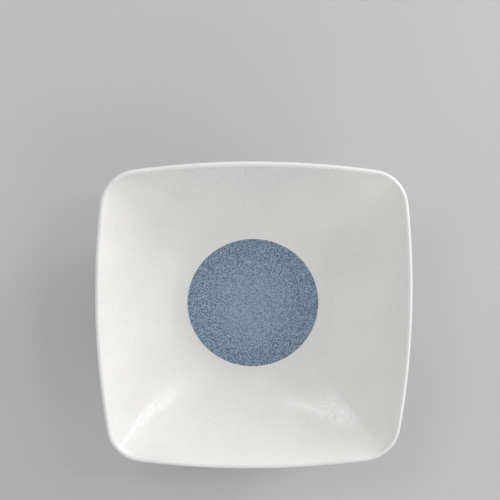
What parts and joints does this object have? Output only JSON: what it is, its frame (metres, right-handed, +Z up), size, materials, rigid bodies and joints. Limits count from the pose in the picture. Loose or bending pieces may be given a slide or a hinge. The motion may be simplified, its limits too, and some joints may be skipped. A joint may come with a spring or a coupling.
{
  "type": "square bowl",
  "caption": "Soft-square serving bowl in matt white glaze, with flared walls, a round flat well, a speckled blue disc in its centre and a low round foot ring.",
  "frame": {"origin": "centre of the foot ring's land, on the surface that the bowl stands on", "axes": "+Z up out of the bowl's opening, along its axis; X and Y square to its four sides"},
  "size_m": [0.22, 0.22, 0.06],
  "materials": {
    "bare_clay": "matte",
    "white_glaze": "satin",
    "blue_glaze": "satin"
  },
  "bodies": {
    "root": {"clay_body": "bare_clay", "inner_glaze": "white_glaze", "outer_glaze": "white_glaze", "foot_glaze": "white_glaze", "centre_disc": "blue_glaze"}
  },
  "joints": []
}
